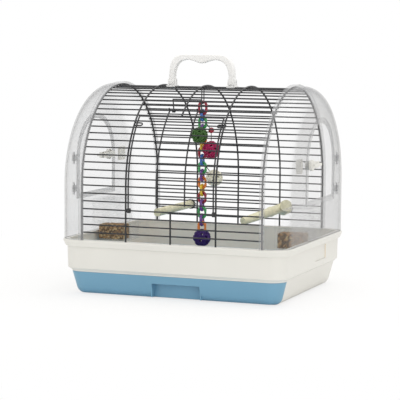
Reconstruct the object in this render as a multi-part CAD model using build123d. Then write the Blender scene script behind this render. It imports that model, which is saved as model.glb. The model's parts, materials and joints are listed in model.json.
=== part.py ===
"""Barrel-topped travel cage for small birds: plastic tub and drawer, wire barrel, two clear end
shells, hooded feeders, perches and a hanging toy. Millimetres, X along the length, front at -Y,
Z up, origin on the table under the middle of the tub."""

from build123d import *
from math import cos, pi, sin
import os

os.makedirs("parts", exist_ok=True)

# Clearances
SEAT_GAP = 0.3
WELD_GAP = 0.05
RUN_GAP = 0.05
TOUCH = 0.2

# Tub
TUB_LENGTH = 352.0
TUB_DEPTH = 292.0
TUB_CORNER_R = 28.0
RIM_Z = 81.0
RIM_LIP_H = 10.0
RIM_PLATE_T = 2.5
RIM_OVERHANG = 7.0
RIM_FLARE = 4.0
RIM_EDGE_R = 2.0
LEDGE = 10.5
TUB_WALL = 2.5
WALL_DRAFT = 1.0
SHOULDER_Z = 39.0
SHOULDER_H = 4.0
SKIRT_INSET = 12.0
SKIRT_DRAFT = 8.5
SKIRT_BOTTOM_R = 13.0
FLOOR_T = 2.0
NOTCH_LENGTH = 52.0
NOTCH_H = 21.0
NOTCH_Z = 57.5
NOTCH_Y = 34.0
NOTCH_DEPTH = 1.4

# Drawer
DRAWER_FRONT_INSET = 35.0
DRAWER_FRONT_Y = DRAWER_FRONT_INSET - TUB_DEPTH / 2
DRAWER_FOOT_Z = 1.5
DRAWER_TOP_GAP = 1.5
TRAY_WALL = 2.0
TRAY_SIDE_GAP = 1.0
RECESS_LENGTH = 73.0
RECESS_H = 22.0
RECESS_DEPTH = 16.0
RECESS_X = 4.0

# Wire barrel
HOOP_INSET = 4.7
HOOP_RADIUS = TUB_DEPTH / 2 - HOOP_INSET
HOOP_COUNT = 5
END_HOOP_INSET = 39.2
HOOP_PITCH = (TUB_LENGTH - 2 * END_HOOP_INSET) / (HOOP_COUNT - 1)
HOOP_R = 1.3
CROSS_R = 1.0
SPRING_Z = 159.8
FIRST_CROSS = 11.1
CROSS_PER_SIDE = 26
RIDGE_HALF = 5.65
LEG = SPRING_Z - RIM_Z
CROSS_PITCH = (LEG + HOOP_RADIUS * pi / 2 - FIRST_CROSS - RIDGE_HALF) / (CROSS_PER_SIDE - 1)
HINGE_ROW = 3
LINTEL_ROW = 16
BAIL_ROW = 17
WIRE_TAIL = 1.5
HOOP_SOCKET_DEPTH = 2.2

# Front wire door
STILE_X = 64.6
STILE_R = 1.1
HOOK_X = 21.5
DOOR_COIL_LENGTH = 4.0
DOOR_RAIL_DROP = 3.6
HOOK_RISE = 8.5
HOOK_TURN = 4.5
CATCH_REACH = 8.5
CATCH_HALF = 2.3

# Latch bail
BAIL_R = 0.9
BAIL_X = 4.6
BAIL_HALF = 21.5
BAIL_LEG = 16.7
BAIL_LEAN = -11.0
BAIL_COIL_LENGTH = 4.0

# Clear end shells
SHELL_END_X = TUB_LENGTH / 2 - 3.0
SHELL_RADIUS = HOOP_RADIUS + 1.7
SHELL_WALL = 2.0
SHELL_EDGE_R = 25.0
BAND_OUTER = SHELL_RADIUS + 2.5
BAND_START = 2 * HOOP_PITCH - 3.3
BAND_END = 2 * HOOP_PITCH + 4.2
BAND_WEB = 2.4

# Arched end doors, offset along Y
END_DOOR_Y = 14.5
END_DOOR_HALF = 67.1
END_DOOR_SILL_Z = 133.4
END_DOOR_SPRING_Z = 190.5
END_DOOR_T = 1.4
END_FRAME_W = 5.0
END_FRAME_T = 2.6
END_DOOR_GAP = 0.4
HINGE_PIN_R = 1.2
HINGE_BARREL_R = 3.0
HINGE_BARREL_L = 9.0
HINGE_LUG_L = 4.0
HINGE_OFFSET_Y = 2.9
HINGE_Z = (149.0, 194.0)

# Turn latch of each end door
LATCH_Y = -40.0
LATCH_Z = 192.0
LATCH_SPINDLE_R = 2.5
LEVER_LENGTH = 30.0
LEVER_H = 9.0
LEVER_T = 4.0
KNOB_R = 8.0
TONGUE_LENGTH = 29.0
TONGUE_H = 8.0
TONGUE_T = 3.4
KEEPER_LENGTH = 20.0
KEEPER_H = 20.0
KEEPER_PLATE_T = 3.6
KEEPER_WEB = 4.0

# Feeders
FEEDER_Y = 0.0
FEEDER_WIDTH = 68.0
FEEDER_WALL = 1.6
FEEDER_FLOOR_Z = 66.0
FEEDER_TOP_Z = 129.0
FEEDER_INNER_X = SHELL_END_X - 54.0
FEEDER_BACK_GAP = 0.6
HOOD_ARC_R = 22.0
HOOD_ROOF_TURN = 50.0
CUP_LENGTH = 43.0
CUP_H = 28.0
CUP_WALL = 1.5
SEED_FILL = 20.5

# Handle
HANDLE_X = -7.25
HANDLE_WIDTH = 103.0
HANDLE_PIVOT_Z = SPRING_Z + HOOP_RADIUS + 6.1
HANDLE_TOP_Z = HANDLE_PIVOT_Z + 40.1
HANDLE_FLAT_HALF = 27.0
HANDLE_CORNER_DROP = 37.0
HANDLE_BAR = 8.7
HANDLE_DEPTH = 11.0
HANDLE_EDGE_R = 2.2
GRIP_BELLY_HALF = 22.0
GRIP_BELLY_H = 4.8
HANDLE_PIN_R = 1.5
CLIP_EAR_T = 1.6
CLIP_EAR_R = 3.8
CLIP_PLATE_T = 1.4
CLIP_HALF_Y = 9.5
CLIP_RING_WALL = 1.5

# Perches
SCREW_R = 2.0
SCREW_HEAD_GRIP = 16.0
WASHER_R = 8.0
WASHER_T = 1.2
NUT_HUB_R = 3.6
NUT_HUB_T = 4.0
NUT_WING_SPAN = 17.0
NUT_WING_H = 6.0
NUT_WING_T = 1.6
SCREW_TAIL = 2.0
DOWEL_X = -79.0
DOWEL_ROW = 1
DOWEL_R = 6.0
DOWEL_FRONT_Y = 2.0
BRANCH_X = 82.0
BRANCH_ROW = 1
ROOT_LENGTH = 20.0
TRUNK_R = 8.4
TWIG_R = 6.2
KNOT_SWELL = 0.8
BARK_STEP = 0.6
TIP_SWELL = 0.2
FORK = (21.0, -75.6, 11.0)
TRUNK_TIP = (29.5, -96.0, 14.8)
KNEE = (9.0, -107.0, 5.8)
TWIG_TIP = (-16.0, -159.0, -4.2)

# Hanging toy
TOY_X = -4.0
HANGER_R = 0.8
HANGER_HALF = 4.5
HANGER_LENGTH = 26.0
BIG_LINK_R = 1.9
BIG_LINK_HALF = 5.6
BIG_LINK_LENGTH = 18.2
LINK_R = 1.6
LINK_HALF = 3.9
LINK_LENGTH = 13.95
LINK_COLOURS = ("blue", "green", "purple", "orange", "yellow", "red", "blue", "green",
                "purple", "orange", "yellow", "red", "purple", "green", "purple", "orange")
TIE_R = 0.6
BEAD_R = 4.3
BEAD_RISE = 11.0
END_BALL_R = 13.4
# X and Y from the chain, radius, height from a link, that link, and the link it is tied to
SIDE_BALLS = {"green": (2.2, -18.6, 12.6, -5.8, 2, 2),
              "crimson": (18.2, -12.0, 13.4, -6.0, 4, 1),
              "cream": (21.4, -6.3, 12.6, -5.5, 8, 7)}

CROSS_RADIUS = HOOP_RADIUS - HOOP_R - CROSS_R - WELD_GAP
DOOR_RADIUS = CROSS_RADIUS + CROSS_R + SEAT_GAP + STILE_R
HOOP_XS = [(i - (HOOP_COUNT - 1) / 2) * HOOP_PITCH for i in range(HOOP_COUNT)]
DRAWER_TOP_Z = SHOULDER_Z - SHOULDER_H - DRAWER_TOP_GAP
HANDLE_BOSS_R = HANDLE_DEPTH / 2


def save(name, shapes):
    """Write one sub-part, made of one or more separate solids."""
    solids = [s for shape in shapes for s in shape.solids()]
    export_step(Compound(solids), f"parts/{name}.step")


def row(index):
    """Arc length, measured from the rim, of a cross wire."""
    return FIRST_CROSS + index * CROSS_PITCH


def arch_point(s, radius, rear=False):
    """(y, z) on the barrel's section at arc length s from the rim, at a given radius."""
    if s < LEG:
        y, z = -radius, RIM_Z + s
    else:
        turn = (s - LEG) / HOOP_RADIUS
        y, z = -radius * cos(turn), SPRING_Z + radius * sin(turn)
    return (-y if rear else y), z


def rod(a, b, r):
    """Round bar from point a to point b."""
    a, b = Vector(a), Vector(b)
    return extrude(Plane(origin=a, z_dir=b - a) * Circle(r), (b - a).length)


def x_rod(x0, x1, y, z, r):
    return rod((x0, y, z), (x1, y, z), r)


def tube(x0, x1, y, z, outer, inner):
    return x_rod(x0, x1, y, z, outer) - x_rod(x0 - 1, x1 + 1, y, z, inner)


def swept(edges, r):
    """Round wire of radius r along joined edges."""
    path = Wire(edges)
    section = Plane(origin=path @ 0, z_dir=path % 0) * Circle(r)
    return sweep(section, path=path)


def box(x0, x1, y0, y1, z0, z1):
    centre = ((x0 + x1) / 2, (y0 + y1) / 2, (z0 + z1) / 2)
    return Pos(*centre) * Box(abs(x1 - x0), abs(y1 - y0), abs(z1 - z0))


def slab(length, depth, corner, z0, z1, draft=0.0):
    """Rounded rectangular block; its bottom is smaller by draft on each side."""
    low = Pos(0, 0, z0) * RectangleRounded(length - 2 * draft, depth - 2 * draft, corner - draft / 2)
    high = Pos(0, 0, z1) * RectangleRounded(length, depth, corner)
    return loft([low, high], ruled=True)


def turned(shape):
    """The same piece at the other end of the cage."""
    return Rot(0, 0, 180) * shape


def save_pair(name, shapes):
    save(f"{name}_right", shapes)
    save(f"{name}_left", [turned(s) for s in shapes])


# Tub sections, from the outside in
wall_length = TUB_LENGTH - 2 * RIM_OVERHANG
wall_depth = TUB_DEPTH - 2 * RIM_OVERHANG
wall_corner = TUB_CORNER_R - RIM_OVERHANG
skirt_length = TUB_LENGTH - 2 * SKIRT_INSET
skirt_depth = TUB_DEPTH - 2 * SKIRT_INSET
skirt_corner = TUB_CORNER_R - SKIRT_INSET / 2
skirt_top = SHOULDER_Z - SHOULDER_H


def skirt_form(inset, z0, top):
    """Tapering block with rounded corners and bottom edge, smaller than the skirt by inset."""
    draft = SKIRT_DRAFT * (skirt_top - z0) / skirt_top
    block = slab(skirt_length - 2 * inset, skirt_depth - 2 * inset, skirt_corner - inset, z0,
                 skirt_top, draft)
    block = fillet(block.faces().sort_by(Axis.Z)[0].edges(), SKIRT_BOTTOM_R - inset)
    return block & box(-TUB_LENGTH, TUB_LENGTH, -TUB_DEPTH, TUB_DEPTH, z0 - 1, top)


def make_tub():
    rim_underside = RIM_Z - RIM_PLATE_T
    lip = slab(TUB_LENGTH, TUB_DEPTH, TUB_CORNER_R, RIM_Z - RIM_LIP_H, RIM_Z, RIM_FLARE)
    lip = fillet(lip.faces().sort_by(Axis.Z)[-1].edges(), RIM_EDGE_R)
    wall = slab(wall_length, wall_depth, wall_corner, SHOULDER_Z, rim_underside + 0.5, WALL_DRAFT)
    shoulder_out = loft([Pos(0, 0, skirt_top) * RectangleRounded(skirt_length, skirt_depth, skirt_corner),
                         Pos(0, 0, SHOULDER_Z) * RectangleRounded(wall_length - 2 * WALL_DRAFT,
                                                                  wall_depth - 2 * WALL_DRAFT,
                                                                  wall_corner - WALL_DRAFT / 2)],
                        ruled=True)
    tub = lip + wall + shoulder_out + skirt_form(0, 0, skirt_top)
    hollow_wall = slab(wall_length - 2 * TUB_WALL, wall_depth - 2 * TUB_WALL, wall_corner - TUB_WALL,
                       SHOULDER_Z + 1, rim_underside, WALL_DRAFT)
    throat = slab(skirt_length - 2 * TUB_WALL, skirt_depth - 2 * TUB_WALL, skirt_corner - TUB_WALL,
                  skirt_top, SHOULDER_Z + 1.01)
    mouth = slab(TUB_LENGTH - 2 * LEDGE, TUB_DEPTH - 2 * LEDGE, TUB_CORNER_R - LEDGE,
                 rim_underside - 1, RIM_Z + 1)
    tub -= hollow_wall + throat + mouth + skirt_form(TUB_WALL, FLOOR_T, skirt_top)
    front = DRAWER_FRONT_Y + SEAT_GAP
    tub -= box(-TUB_LENGTH, TUB_LENGTH, -TUB_DEPTH, front, -1, DRAWER_TOP_Z + SEAT_GAP)
    socket_z = RIM_Z - HOOP_SOCKET_DEPTH - 0.2
    for x in HOOP_XS:
        for side in (-1, 1):
            tub -= rod((x, side * HOOP_RADIUS, socket_z), (x, side * HOOP_RADIUS, RIM_Z + 1),
                       HOOP_R + RUN_GAP)
    outer_x = wall_length / 2 - WALL_DRAFT
    notch = box(outer_x - NOTCH_DEPTH, outer_x + 10, NOTCH_Y - NOTCH_LENGTH / 2,
                NOTCH_Y + NOTCH_LENGTH / 2, NOTCH_Z - NOTCH_H / 2, NOTCH_Z + NOTCH_H / 2)
    return tub - notch - turned(notch)


def make_drawer():
    bottom = FLOOR_T + SEAT_GAP
    side = TUB_WALL + TRAY_SIDE_GAP
    front = skirt_form(0, 0, DRAWER_TOP_Z)
    front &= box(-TUB_LENGTH, TUB_LENGTH, -TUB_DEPTH, DRAWER_FRONT_Y, DRAWER_FOOT_Z, DRAWER_TOP_Z)
    drawer = front + skirt_form(side, bottom, DRAWER_TOP_Z)
    drawer -= skirt_form(side + TRAY_WALL, bottom + TRAY_WALL, skirt_top)
    face_y = -skirt_depth / 2
    half = RECESS_LENGTH / 2
    housing = box(RECESS_X - half - TRAY_WALL, RECESS_X + half + TRAY_WALL, face_y + RECESS_DEPTH,
                  face_y + RECESS_DEPTH + TRAY_WALL, bottom, RECESS_H + TRAY_WALL)
    housing += box(RECESS_X - half - TRAY_WALL, RECESS_X + half + TRAY_WALL, face_y + side + TRAY_WALL,
                   face_y + RECESS_DEPTH + 1, bottom, RECESS_H + TRAY_WALL)
    pocket = box(RECESS_X - half, RECESS_X + half, -TUB_DEPTH, face_y + RECESS_DEPTH, -1, RECESS_H)
    return drawer + housing - pocket


def arch_edges(x, radius, s0, s1):
    """Edges of the barrel's section on its front side, from arc length s0 to s1."""
    points = []
    if s0 < LEG:
        points.append(Line((x, *arch_point(s0, radius)), (x, *arch_point(min(s1, LEG), radius))))
        s0 = LEG
    if s1 > LEG:
        middle = (s0 + s1) / 2
        points.append(ThreePointArc((x, *arch_point(s0, radius)), (x, *arch_point(middle, radius)),
                                    (x, *arch_point(s1, radius))))
    return points


def make_hoop(x):
    foot = RIM_Z - HOOP_SOCKET_DEPTH
    edges = [Line((x, -HOOP_RADIUS, foot), (x, -HOOP_RADIUS, SPRING_Z)),
             ThreePointArc((x, -HOOP_RADIUS, SPRING_Z), (x, 0, SPRING_Z + HOOP_RADIUS),
                           (x, HOOP_RADIUS, SPRING_Z)),
             Line((x, HOOP_RADIUS, SPRING_Z), (x, HOOP_RADIUS, foot))]
    return swept(edges, HOOP_R)


def make_cut_hoop(x):
    """The middle hoop: its front leg ends at the lintel wire over the door."""
    foot = RIM_Z - HOOP_SOCKET_DEPTH
    y, z = arch_point(row(LINTEL_ROW) - WIRE_TAIL, HOOP_RADIUS)
    edges = [ThreePointArc((x, y, z), (x, 0, SPRING_Z + HOOP_RADIUS), (x, HOOP_RADIUS, SPRING_Z)),
             Line((x, HOOP_RADIUS, SPRING_Z), (x, HOOP_RADIUS, foot))]
    return swept(edges, HOOP_R)


def cross_wire(index, x0, x1, rear=False):
    y, z = arch_point(row(index), CROSS_RADIUS, rear)
    return x_rod(x0, x1, y, z, CROSS_R)


def make_wires():
    for number, x in enumerate(HOOP_XS, 1):
        middle = number == (HOOP_COUNT + 1) // 2
        save(f"hoop_wire_{number}", [make_cut_hoop(x) if middle else make_hoop(x)])
    stub_top = RIM_Z + row(HINGE_ROW) + WIRE_TAIL
    save("hoop_stub", [rod((0, -HOOP_RADIUS, RIM_Z - HOOP_SOCKET_DEPTH), (0, -HOOP_RADIUS, stub_top),
                           HOOP_R)])
    end = HOOP_XS[-1] + WIRE_TAIL
    inner = HOOP_XS[-2] - WIRE_TAIL
    save("rear_cross_wires", [cross_wire(i, -end, end, True) for i in range(CROSS_PER_SIDE)])
    save("roof_cross_wires", [cross_wire(i, -end, end) for i in range(LINTEL_ROW, CROSS_PER_SIDE)])
    save("lower_front_wires", [cross_wire(i, -end, end) for i in range(HINGE_ROW + 1)])
    side_rows = range(HINGE_ROW + 1, LINTEL_ROW)
    save("left_front_wires", [cross_wire(i, -end, -inner) for i in side_rows])
    save("right_front_wires", [cross_wire(i, inner, end) for i in side_rows])


def make_catch(side):
    """Wire loop that reaches in from the hoop and stops the door from swinging inwards."""
    s = (row(LINTEL_ROW - 2) + row(LINTEL_ROW - 1)) / 2
    root = side * (HOOP_XS[-2] + WIRE_TAIL)
    tip = side * (HOOP_XS[-2] - CATCH_REACH)
    low = arch_point(s - CATCH_HALF, CROSS_RADIUS)
    high = arch_point(s + CATCH_HALF, CROSS_RADIUS)
    far = arch_point(s, CROSS_RADIUS)
    edges = [Line((root, *low), (tip, *low)),
             ThreePointArc((tip, *low), (tip - side * CATCH_HALF, *far), (tip, *high)),
             Line((tip, *high), (root, *high))]
    return swept(edges, CROSS_R)


def make_front_door():
    hinge_y, hinge_z = arch_point(row(HINGE_ROW), CROSS_RADIUS)
    top = row(LINTEL_ROW) - DOOR_RAIL_DROP
    frame = Part()
    coil_outer = DOOR_RADIUS - CROSS_RADIUS + STILE_R
    for side in (-1, 1):
        x = side * STILE_X
        stile = swept(arch_edges(x, DOOR_RADIUS, row(HINGE_ROW), top), STILE_R)
        half = DOOR_COIL_LENGTH / 2
        bore = x_rod(x - half - 1, x + half + 1, hinge_y, hinge_z, CROSS_R + RUN_GAP)
        frame += stile + x_rod(x - half, x + half, hinge_y, hinge_z, coil_outer) - bore
    rail_y, rail_z = arch_point(top, DOOR_RADIUS)
    frame += x_rod(-STILE_X, STILE_X, rail_y, rail_z, STILE_R)
    for side in (-1, 1):
        frame += Pos(side * STILE_X, rail_y, rail_z) * Sphere(STILE_R)
    save("door_frame", [frame])
    reach = STILE_X + STILE_R
    door_rows = range(HINGE_ROW + 1, LINTEL_ROW)
    radius = DOOR_RADIUS - STILE_R - CROSS_R - WELD_GAP
    wires = []
    for i in door_rows:
        y, z = arch_point(row(i), radius)
        wires.append(x_rod(-reach, reach, y, z, CROSS_R))
    save("door_cross_wires", wires)
    hooks = []
    for side in (-1, 1):
        x = side * HOOK_X
        start, stop = row(HINGE_ROW + 1) - WIRE_TAIL, row(LINTEL_ROW) + HOOK_RISE
        upper = [arch_edges(x, DOOR_RADIUS, top + STILE_R + TOUCH, stop)[-1]]
        tip = arch_point(stop, DOOR_RADIUS + HOOK_TURN)
        upper_hook = swept(upper, STILE_R) + rod((x, *arch_point(stop, DOOR_RADIUS)), (x, *tip), STILE_R)
        upper_hook += Pos(x, *arch_point(stop, DOOR_RADIUS)) * Sphere(STILE_R)
        lower = swept(arch_edges(x, DOOR_RADIUS, start, top - STILE_R - TOUCH), STILE_R)
        hooks += [lower, upper_hook]
    save("door_hook_wires", hooks)


def make_bail():
    pivot_y, pivot_z = arch_point(row(BAIL_ROW), CROSS_RADIUS)
    lean = BAIL_LEAN * pi / 180
    bar_y = pivot_y + BAIL_LEG * sin(lean)
    bar_z = pivot_z + BAIL_LEG * cos(lean)
    bail = x_rod(BAIL_X - BAIL_HALF, BAIL_X + BAIL_HALF, bar_y, bar_z, BAIL_R)
    for side in (-1, 1):
        x = BAIL_X + side * BAIL_HALF
        half = BAIL_COIL_LENGTH / 2
        coil = x_rod(x - half, x + half, pivot_y, pivot_z, CROSS_R + RUN_GAP + 2 * BAIL_R)
        bail += rod((x, pivot_y, pivot_z), (x, bar_y, bar_z), BAIL_R)
        bail += Pos(x, bar_y, bar_z) * Sphere(BAIL_R) + coil
    return bail - x_rod(-TUB_LENGTH, TUB_LENGTH, pivot_y, pivot_z, CROSS_R + RUN_GAP)


def barrel(radius, x0, x1):
    """Solid barrel vault with straight sides, between two stations along X."""
    face = Plane.YZ.offset(x0) * (Pos(0, SPRING_Z) * Circle(radius)
                                  + Pos(0, (RIM_Z + SPRING_Z) / 2) * Rectangle(2 * radius, LEG))
    lower = Plane.YZ.offset(x0) * (Pos(0, RIM_Z - radius) * Rectangle(4 * radius, 2 * radius))
    return extrude(face - lower, x1 - x0)


def closed_barrel(radius, x0, end_x, edge_r):
    block = barrel(radius, x0, end_x)
    end = block.faces().sort_by(Axis.X)[-1]
    edges = [e for e in end.edges() if e.center().Z > RIM_Z + 1]
    return fillet(edges, edge_r)


def end_door_outline(inset):
    """Arched outline in the YZ plane, smaller than the door by inset."""
    half = END_DOOR_HALF - inset
    low = END_DOOR_SILL_Z + inset
    head = Pos(END_DOOR_Y, END_DOOR_SPRING_Z) * Circle(half)
    sill = Pos(END_DOOR_Y, (low + END_DOOR_SPRING_Z) / 2) * Rectangle(2 * half, END_DOOR_SPRING_Z - low)
    below = Pos(END_DOOR_Y, low - half) * Rectangle(4 * half, 2 * half)
    return head + sill - below


def end_panel(inset, x0, x1):
    return extrude(Plane.YZ.offset(x0) * end_door_outline(inset), x1 - x0)


HINGE_X = SHELL_END_X + HINGE_BARREL_R + SEAT_GAP
HINGE_Y = END_DOOR_Y + END_DOOR_HALF + HINGE_OFFSET_Y


def z_rod(x, y, z0, z1, r):
    return rod((x, y, z0), (x, y, z1), r)


def make_shell():
    outer = closed_barrel(SHELL_RADIUS, BAND_END - BAND_WEB, SHELL_END_X, SHELL_EDGE_R)
    inner = closed_barrel(SHELL_RADIUS - SHELL_WALL, BAND_END - BAND_WEB - 1, SHELL_END_X - SHELL_WALL,
                          SHELL_EDGE_R - SHELL_WALL)
    band = barrel(BAND_OUTER, BAND_START, BAND_END)
    band -= barrel(HOOP_RADIUS + HOOP_R + SEAT_GAP, BAND_START - 1, BAND_END - BAND_WEB)
    shell = outer + band - inner - barrel(SHELL_RADIUS - SHELL_WALL, BAND_START - 1, BAND_END + 1)
    shell -= end_panel(-END_DOOR_GAP, SHELL_END_X - SHELL_WALL - 1, SHELL_END_X + 1)
    lug_start = HINGE_BARREL_L / 2 + SEAT_GAP
    for z in HINGE_Z:
        for side in (-1, 1):
            z0 = z + side * lug_start
            z1 = z + side * (lug_start + HINGE_LUG_L)
            z0, z1 = min(z0, z1), max(z0, z1)
            lug = z_rod(HINGE_X, HINGE_Y, z0, z1, HINGE_BARREL_R)
            lug += box(SHELL_END_X - 0.5, HINGE_X, HINGE_Y, HINGE_Y + HINGE_BARREL_R, z0, z1)
            shell += lug - z_rod(HINGE_X, HINGE_Y, z0 - 1, z1 + 1, HINGE_PIN_R + RUN_GAP / 2)
    return shell


def make_hinge_pins():
    reach = HINGE_BARREL_L / 2 + SEAT_GAP + HINGE_LUG_L
    return [z_rod(HINGE_X, HINGE_Y, z - reach, z + reach, HINGE_PIN_R) for z in HINGE_Z]


def make_end_door():
    inside_x = SHELL_END_X - SHELL_WALL
    rim_x = inside_x + END_FRAME_T
    door = end_panel(0, inside_x, rim_x)
    door -= end_panel(END_FRAME_W, inside_x - 1, inside_x + (END_FRAME_T - END_DOOR_T) / 2)
    door -= end_panel(END_FRAME_W, inside_x + (END_FRAME_T + END_DOOR_T) / 2, rim_x + 1)
    for z in HINGE_Z:
        z0, z1 = z - HINGE_BARREL_L / 2, z + HINGE_BARREL_L / 2
        arm = box(SHELL_END_X + SEAT_GAP, HINGE_X, HINGE_Y - HINGE_OFFSET_Y - END_FRAME_W, HINGE_Y, z0, z1)
        door += arm + z_rod(HINGE_X, HINGE_Y, z0, z1, HINGE_BARREL_R)
        door -= z_rod(HINGE_X, HINGE_Y, z0 - 1, z1 + 1, HINGE_PIN_R + RUN_GAP)
    return door - x_rod(inside_x - 1, rim_x + 1, LATCH_Y, LATCH_Z, LATCH_SPINDLE_R + RUN_GAP)


TONGUE_X = SHELL_END_X - SHELL_WALL - SEAT_GAP - TONGUE_T


def make_lever():
    """Outside lever with its knob and spindle; it points away from the keeper when unlocked."""
    x0 = SHELL_END_X - SHELL_WALL + END_FRAME_T + SEAT_GAP
    lever = x_rod(x0, x0 + LEVER_T, LATCH_Y, LATCH_Z, KNOB_R)
    lever += box(x0, x0 + LEVER_T, LATCH_Y, LATCH_Y + LEVER_LENGTH, LATCH_Z - LEVER_H / 2,
                 LATCH_Z + LEVER_H / 2)
    grip = box(x0 + LEVER_T, x0 + 2 * LEVER_T, LATCH_Y - KNOB_R / 2, LATCH_Y + LEVER_LENGTH,
               LATCH_Z - LEVER_T / 2, LATCH_Z + LEVER_T / 2)
    spindle = x_rod(TONGUE_X + TONGUE_T + TOUCH, x0 + 1, LATCH_Y, LATCH_Z, LATCH_SPINDLE_R)
    return lever + grip + spindle


def make_tongue():
    """Inside tongue; turned over, it slips behind the keeper plate."""
    hub = x_rod(TONGUE_X, TONGUE_X + TONGUE_T, LATCH_Y, LATCH_Z, TONGUE_H / 2 + 1)
    return hub + box(TONGUE_X, TONGUE_X + TONGUE_T, LATCH_Y, LATCH_Y + TONGUE_LENGTH,
                     LATCH_Z - TONGUE_H / 2, LATCH_Z + TONGUE_H / 2)


def make_keeper():
    edge = END_DOOR_Y - END_DOOR_HALF - 2
    plate_x = TONGUE_X - SEAT_GAP
    z0, z1 = LATCH_Z - KEEPER_H / 2, LATCH_Z + KEEPER_H / 2
    plate = box(plate_x - KEEPER_PLATE_T, plate_x, edge - KEEPER_LENGTH, edge, z0, z1)
    web = box(plate_x - 1, SHELL_END_X - SHELL_WALL, edge - KEEPER_LENGTH,
              edge - KEEPER_LENGTH + KEEPER_WEB, z0, z1)
    return plate + web


# Feeder bounds at the right end
feeder_back = SHELL_END_X - SHELL_WALL
feeder_lower_back = TUB_LENGTH / 2 - LEDGE - FEEDER_BACK_GAP
feeder_y0 = FEEDER_Y - FEEDER_WIDTH / 2
feeder_y1 = FEEDER_Y + FEEDER_WIDTH / 2
cup_back = feeder_lower_back - FEEDER_WALL - SEAT_GAP
cup_z = FEEDER_FLOOR_Z + FEEDER_WALL + SEAT_GAP
cup_width = (FEEDER_WIDTH - 3 * FEEDER_WALL) / 2 - 2 * SEAT_GAP


def hood_profile(grow):
    """Side outline of the hood: flat top, quarter-round nose, plain front; grow offsets inwards."""
    centre_x = FEEDER_INNER_X + HOOD_ARC_R
    centre_z = FEEDER_TOP_Z - HOOD_ARC_R
    low = RIM_Z + SEAT_GAP
    nose = Pos(centre_x, centre_z) * Circle(HOOD_ARC_R - grow)
    block = Pos((centre_x + feeder_back) / 2, (low + FEEDER_TOP_Z - grow) / 2) * Rectangle(
        feeder_back - centre_x, FEEDER_TOP_Z - grow - low)
    front = Pos((FEEDER_INNER_X + grow + centre_x) / 2, (low + centre_z) / 2) * Rectangle(
        HOOD_ARC_R - grow, centre_z - low)
    clip = Pos(centre_x, low - HOOD_ARC_R) * Rectangle(4 * HOOD_ARC_R, 2 * HOOD_ARC_R)
    return nose + block + front - clip


def feeder_slice(y0, y1, profile):
    return extrude(Plane.XZ.offset(-y0) * profile, -(y1 - y0))


def make_hood():
    """Clear holder with three cheeks, a floor, a back plate and a roof over the cups."""
    hood = Part()
    mid = FEEDER_Y - FEEDER_WALL / 2
    for y in (feeder_y0, mid, feeder_y1 - FEEDER_WALL):
        hood += feeder_slice(y, y + FEEDER_WALL, hood_profile(0))
        hood += box(FEEDER_INNER_X, feeder_lower_back, y, y + FEEDER_WALL, FEEDER_FLOOR_Z,
                    RIM_Z + SEAT_GAP + 1)
    roof = feeder_slice(feeder_y0, feeder_y1, hood_profile(0))
    roof -= feeder_slice(feeder_y0 - 1, feeder_y1 + 1, hood_profile(FEEDER_WALL))
    turn = HOOD_ROOF_TURN * pi / 180
    open_x = FEEDER_INNER_X + HOOD_ARC_R * (1 - cos(turn))
    roof -= box(0, open_x, -TUB_DEPTH, TUB_DEPTH, 0, TUB_LENGTH)
    hood += roof
    step_z = RIM_Z + SEAT_GAP
    hood += box(feeder_back - FEEDER_WALL, feeder_back, feeder_y0, feeder_y1, step_z, FEEDER_TOP_Z)
    hood += box(feeder_lower_back - FEEDER_WALL, feeder_back, feeder_y0, feeder_y1, step_z,
                step_z + FEEDER_WALL)
    hood += box(feeder_lower_back - FEEDER_WALL, feeder_lower_back, feeder_y0, feeder_y1,
                FEEDER_FLOOR_Z, step_z + FEEDER_WALL)
    hood += box(FEEDER_INNER_X, feeder_lower_back, feeder_y0, feeder_y1, FEEDER_FLOOR_Z,
                FEEDER_FLOOR_Z + FEEDER_WALL)
    return hood


def cup_bounds(bay, inset):
    y0 = feeder_y0 + FEEDER_WALL + SEAT_GAP
    if bay == "rear":
        y0 = FEEDER_Y + FEEDER_WALL / 2 + SEAT_GAP
    return (cup_back - CUP_LENGTH + inset, cup_back - inset, y0 + inset, y0 + cup_width - inset)


def make_cup(bay):
    cup = box(*cup_bounds(bay, 0), cup_z, cup_z + CUP_H)
    vertical = cup.edges().filter_by(Axis.Z)
    cup = fillet(vertical, 3 * CUP_WALL)
    inside = box(*cup_bounds(bay, CUP_WALL), cup_z + CUP_WALL, cup_z + CUP_H + 1)
    return cup - fillet(inside.edges().filter_by(Axis.Z), 2 * CUP_WALL)


def make_seed(bay):
    fill = box(*cup_bounds(bay, CUP_WALL + TOUCH), cup_z + CUP_WALL + TOUCH, cup_z + CUP_WALL + SEED_FILL)
    return fillet(fill.edges().filter_by(Axis.Z), 2 * CUP_WALL)


def handle_outline():
    """Closed outline of the bow in the XZ plane: flat top, wide shoulders and a grip that swells down."""
    half = HANDLE_WIDTH / 2
    inner = half - HANDLE_BAR
    foot = HANDLE_PIVOT_Z - HANDLE_TOP_Z
    under = -HANDLE_BAR
    edges = [Line((-HANDLE_FLAT_HALF, 0), (HANDLE_FLAT_HALF, 0)),
             Spline((-GRIP_BELLY_HALF, under), (0, under - GRIP_BELLY_H), (GRIP_BELLY_HALF, under),
                    tangents=((1, 0), (1, 0)))]
    for side in (-1, 1):
        shoulder = (side * HANDLE_FLAT_HALF, 0)
        edges.append(Spline(shoulder, (side * half, -HANDLE_CORNER_DROP), tangents=((side, 0), (0, -1))))
        edges.append(Line((side * half, -HANDLE_CORNER_DROP), (side * half, foot)))
        edges.append(Line((side * half, foot), (side * inner, foot)))
        edges.append(Line((side * inner, foot), (side * inner, -HANDLE_CORNER_DROP)))
        edges.append(Spline((side * inner, -HANDLE_CORNER_DROP), (side * GRIP_BELLY_HALF, under),
                            tangents=((0, 1), (-side, 0))))
    return Pos(HANDLE_X, HANDLE_TOP_Z) * make_face(edges)


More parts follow.
